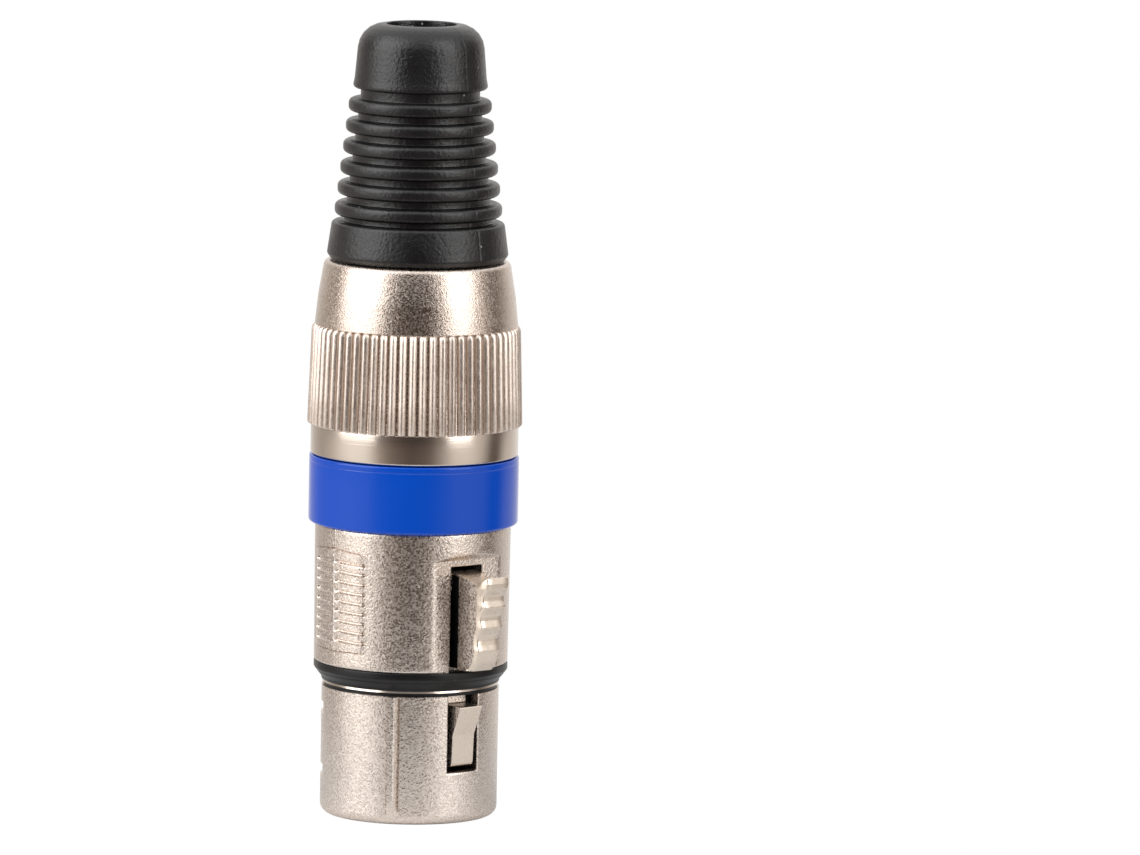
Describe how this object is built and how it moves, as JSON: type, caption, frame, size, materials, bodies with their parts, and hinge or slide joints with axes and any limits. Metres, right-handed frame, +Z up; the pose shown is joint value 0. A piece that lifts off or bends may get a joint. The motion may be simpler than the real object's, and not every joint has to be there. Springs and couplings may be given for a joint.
{
  "type": "xlr cable plug",
  "caption": "Round locking audio plug for a cable: metal nose with socket contacts and a push latch, coding ring, ribbed screw-on back nut and a ribbed rubber boot.",
  "frame": {"origin": "on the plug's axis, in the plane of the nose's front ring", "axes": "+Z up the axis from the nose to the boot; -Y towards the latch; +X to the right when the latch is seen from the front with the nose down"},
  "size_m": [0.0194, 0.022, 0.0715],
  "materials": {
    "nickel_shell": "die-cast zinc with a satin, bead-blasted nickel plating",
    "nickel_lever": "die-cast zinc with a satin nickel plating",
    "nickel_nut": "turned and ribbed metal with a satin nickel plating",
    "spring_steel": "bare spring steel",
    "contact_metal": "plated bronze",
    "black_plastic": "moulded, matt",
    "chuck_plastic": "moulded, natural",
    "blue_plastic": "moulded, glossy",
    "black_rubber": "moulded, satin"
  },
  "bodies": {
    "housing": {"front_shell": "nickel_shell", "nose_gasket": "black_rubber", "latch_spring": "spring_steel", "insert_front": "black_plastic", "insert_rear": "black_plastic", "socket_contact_1": "contact_metal", "socket_contact_2": "contact_metal", "socket_contact_3": "contact_metal", "ground_strip": "contact_metal", "coding_ring": "blue_plastic", "cable_chuck": "chuck_plastic"},
    "latch": {"latch_lever": "nickel_lever"},
    "bend_relief": {"boot": "black_rubber"},
    "nut": {"back_nut": "nickel_nut"}
  },
  "joints": [
    {"name": "latch_press", "type": "hinge", "parent": "housing", "child": "latch", "pos_m": [0, -0.0069, 0.0219], "axis": [1, 0, 0], "range_deg": [0, 5.8], "stiffness_Nm_per_rad": 0.02, "springref_deg": -11.46, "deforming": ["latch_spring"]},
    {"name": "boot_lift", "type": "slide", "parent": "housing", "child": "bend_relief", "axis": [0, 0, 1], "range_m": [0, 0.005]},
    {"name": "nut_turn", "type": "hinge", "parent": "bend_relief", "child": "nut", "pos_m": [0, 0, 0.04], "axis": [0, 0, 1], "range_deg": [0, 1800]}
  ],
  "couplings": [
    {"joint": "nut_turn", "follows": "boot_lift", "rad_per_m": 6283.2}
  ]
}
